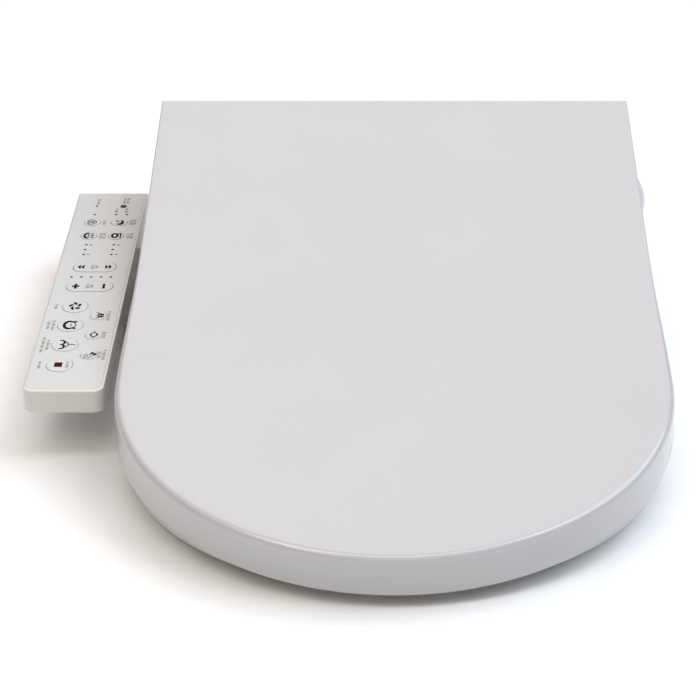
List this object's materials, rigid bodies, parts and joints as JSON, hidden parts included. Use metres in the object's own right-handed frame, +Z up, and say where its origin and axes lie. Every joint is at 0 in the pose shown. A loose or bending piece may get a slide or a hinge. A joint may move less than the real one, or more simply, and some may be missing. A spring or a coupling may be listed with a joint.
{
  "type": "electric bidet seat",
  "caption": "Toilet seat with built-in bidet: sloping deep-rimmed lid over a heated ring, rear housing with spray nozzles and warm-air dryer, and a side control arm.",
  "frame": {"origin": "midway between the two fixing bolts, on the plane of the toilet rim that the unit stands on", "axes": "+Z up, -Y towards the front of the seat, +X to the right of a viewer standing in front"},
  "size_m": [0.4566, 0.5111, 0.132],
  "materials": {
    "lid_white": "semi-gloss moulded lid",
    "seat_white": "gloss moulded seat",
    "housing_white": "satin moulded casing",
    "arm_casing": "satin moulded casing",
    "arm_plate": "fine matt face plate",
    "key_plastic": "satin key caps",
    "nozzle_white": "gloss nozzle",
    "inner_plastic": "grey moulding",
    "soft_rubber": "soft grey rubber",
    "steel": "plain steel",
    "motor_can": "plated can",
    "fitting_metal": "plated fitting",
    "heater_foil": "foil",
    "circuit_board": "circuit board",
    "lamp_lens": "unlit lamp lens",
    "dark_lens": "dark sensor window",
    "frosted_lens": "frosted lens"
  },
  "bodies": {
    "bracket": {"mounting_bracket": "inner_plastic"},
    "housing": {"base_tray": "housing_white", "housing_cover": "housing_white", "cover_screws": "steel", "rubber_feet": "soft_rubber", "night_light_lens": "frosted_lens", "dryer_grille": "housing_white", "water_inlet": "fitting_metal", "inlet_filter": "inner_plastic", "solenoid_valve": "inner_plastic", "heater_tank": "inner_plastic", "flow_selector": "inner_plastic", "nozzle_motors": "motor_can", "nozzle_guide": "inner_plastic", "blower_housing": "inner_plastic", "blower_motor": "motor_can", "dryer_heater": "heater_foil", "deodoriser_duct": "inner_plastic", "main_board": "circuit_board", "power_module": "inner_plastic", "cable_gland": "soft_rubber", "hinge_dampers": "inner_plastic", "hinge_pins": "steel", "arm_base": "arm_casing", "arm_board": "circuit_board", "arm_face_plate": "arm_plate", "arm_lamps": "lamp_lens", "sensor_window": "dark_lens"},
    "seat": {"seat_upper_shell": "seat_white", "seat_lower_shell": "seat_white", "seat_heater": "heater_foil", "seat_sensor": "circuit_board", "seat_bumpers": "soft_rubber"},
    "lid": {"lid_shell": "lid_white", "lid_bumpers": "soft_rubber", "hinge_cap_right": "lid_white", "hinge_cap_left": "lid_white"},
    "rear_nozzle": {"rear_nozzle": "nozzle_white", "rear_nozzle_tip": "nozzle_white"},
    "front_nozzle": {"front_nozzle": "nozzle_white", "front_nozzle_tip": "nozzle_white"},
    "rear_gear": {"rear_drive_gear": "inner_plastic"},
    "front_gear": {"front_drive_gear": "inner_plastic"},
    "blower": {"blower_impeller": "inner_plastic"},
    "fan": {"deodoriser_fan": "inner_plastic"},
    "filter": {"carbon_filter": "housing_white"},
    "release": {"release_button": "key_plastic"},
    "key_dry": {"key_dry": "key_plastic"},
    "key_front_wash": {"key_front_wash": "key_plastic"},
    "key_rear_wash": {"key_rear_wash": "key_plastic"},
    "key_stop": {"key_stop": "key_plastic"},
    "key_child": {"key_child": "key_plastic"},
    "key_pulse": {"key_pulse": "key_plastic"},
    "key_turbo": {"key_turbo": "key_plastic"},
    "key_night_light": {"key_night_light": "key_plastic"},
    "key_eco": {"key_eco": "key_plastic"},
    "key_water_temp": {"key_water_temp": "key_plastic"},
    "key_seat_temp": {"key_seat_temp": "key_plastic"},
    "rocker_position": {"rocker_position": "key_plastic"},
    "rocker_pressure": {"rocker_pressure": "key_plastic"}
  },
  "joints": [
    {"name": "bracket_release_slide", "type": "slide", "parent": "bracket", "child": "housing", "axis": [0, -1, 0], "range_m": [0, 0.075]},
    {"name": "seat_hinge", "type": "hinge", "parent": "housing", "child": "seat", "pos_m": [0, -0.01, 0.072], "axis": [-1, 0, 0], "range_deg": [0, 98]},
    {"name": "lid_hinge", "type": "hinge", "parent": "seat", "child": "lid", "pos_m": [0, -0.01, 0.072], "axis": [1, 0, 0], "range_deg": [-105, 0]},
    {"name": "rear_nozzle_slide", "type": "slide", "parent": "housing", "child": "rear_nozzle", "axis": [0, -0.8192, -0.5736], "range_m": [0, 0.08]},
    {"name": "front_nozzle_slide", "type": "slide", "parent": "housing", "child": "front_nozzle", "axis": [0, -0.8192, -0.5736], "range_m": [0, 0.08]},
    {"name": "rear_gear_spin", "type": "hinge", "parent": "housing", "child": "rear_gear", "pos_m": [0.009, -0.09193, 0.04349], "axis": [-1, 0, 0], "range_deg": [0, 764]},
    {"name": "front_gear_spin", "type": "hinge", "parent": "housing", "child": "front_gear", "pos_m": [-0.009, -0.09193, 0.04349], "axis": [-1, 0, 0], "range_deg": [0, 764]},
    {"name": "blower_spin", "type": "hinge", "parent": "housing", "child": "blower", "pos_m": [-0.097, -0.062, 0.066], "axis": [1, 0, 0], "continuous": true},
    {"name": "fan_spin", "type": "hinge", "parent": "housing", "child": "fan", "pos_m": [0.105, -0.096, 0.018], "axis": [1, 0, 0], "continuous": true},
    {"name": "filter_slide", "type": "slide", "parent": "housing", "child": "filter", "axis": [1, 0, 0], "range_m": [0, 0.06]},
    {"name": "release_press", "type": "slide", "parent": "housing", "child": "release", "axis": [-1, 0, 0], "range_m": [0, 0.005], "stiffness_N_per_m": 900},
    {"name": "key_dry_press", "type": "slide", "parent": "housing", "child": "key_dry", "axis": [0, 0, -1], "range_m": [0, 0.001], "stiffness_N_per_m": 1200},
    {"name": "key_front_wash_press", "type": "slide", "parent": "housing", "child": "key_front_wash", "axis": [0, 0, -1], "range_m": [0, 0.001], "stiffness_N_per_m": 1200},
    {"name": "key_rear_wash_press", "type": "slide", "parent": "housing", "child": "key_rear_wash", "axis": [0, 0, -1], "range_m": [0, 0.001], "stiffness_N_per_m": 1200},
    {"name": "key_stop_press", "type": "slide", "parent": "housing", "child": "key_stop", "axis": [0, 0, -1], "range_m": [0, 0.001], "stiffness_N_per_m": 1200},
    {"name": "key_child_press", "type": "slide", "parent": "housing", "child": "key_child", "axis": [0, 0, -1], "range_m": [0, 0.001], "stiffness_N_per_m": 1200},
    {"name": "key_pulse_press", "type": "slide", "parent": "housing", "child": "key_pulse", "axis": [0, 0, -1], "range_m": [0, 0.001], "stiffness_N_per_m": 1200},
    {"name": "key_turbo_press", "type": "slide", "parent": "housing", "child": "key_turbo", "axis": [0, 0, -1], "range_m": [0, 0.001], "stiffness_N_per_m": 1200},
    {"name": "key_night_light_press", "type": "slide", "parent": "housing", "child": "key_night_light", "axis": [0, 0, -1], "range_m": [0, 0.001], "stiffness_N_per_m": 1200},
    {"name": "key_eco_press", "type": "slide", "parent": "housing", "child": "key_eco", "axis": [0, 0, -1], "range_m": [0, 0.001], "stiffness_N_per_m": 1200},
    {"name": "key_water_temp_press", "type": "slide", "parent": "housing", "child": "key_water_temp", "axis": [0, 0, -1], "range_m": [0, 0.001], "stiffness_N_per_m": 1200},
    {"name": "key_seat_temp_press", "type": "slide", "parent": "housing", "child": "key_seat_temp", "axis": [0, 0, -1], "range_m": [0, 0.001], "stiffness_N_per_m": 1200},
    {"name": "rocker_position_tilt", "type": "hinge", "parent": "housing", "child": "rocker_position", "pos_m": [-0.2285, -0.1062, 0.0556], "axis": [0, 1, 0], "range_deg": [-3, 3], "stiffness_Nm_per_rad": 0.5},
    {"name": "rocker_pressure_tilt", "type": "hinge", "parent": "housing", "child": "rocker_pressure", "pos_m": [-0.2285, -0.137, 0.0556], "axis": [0, 1, 0], "range_deg": [-3, 3], "stiffness_Nm_per_rad": 0.5}
  ],
  "couplings": [
    {"joint": "rear_gear_spin", "follows": "rear_nozzle_slide", "rad_per_m": 166.67},
    {"joint": "front_gear_spin", "follows": "front_nozzle_slide", "rad_per_m": 166.67}
  ]
}
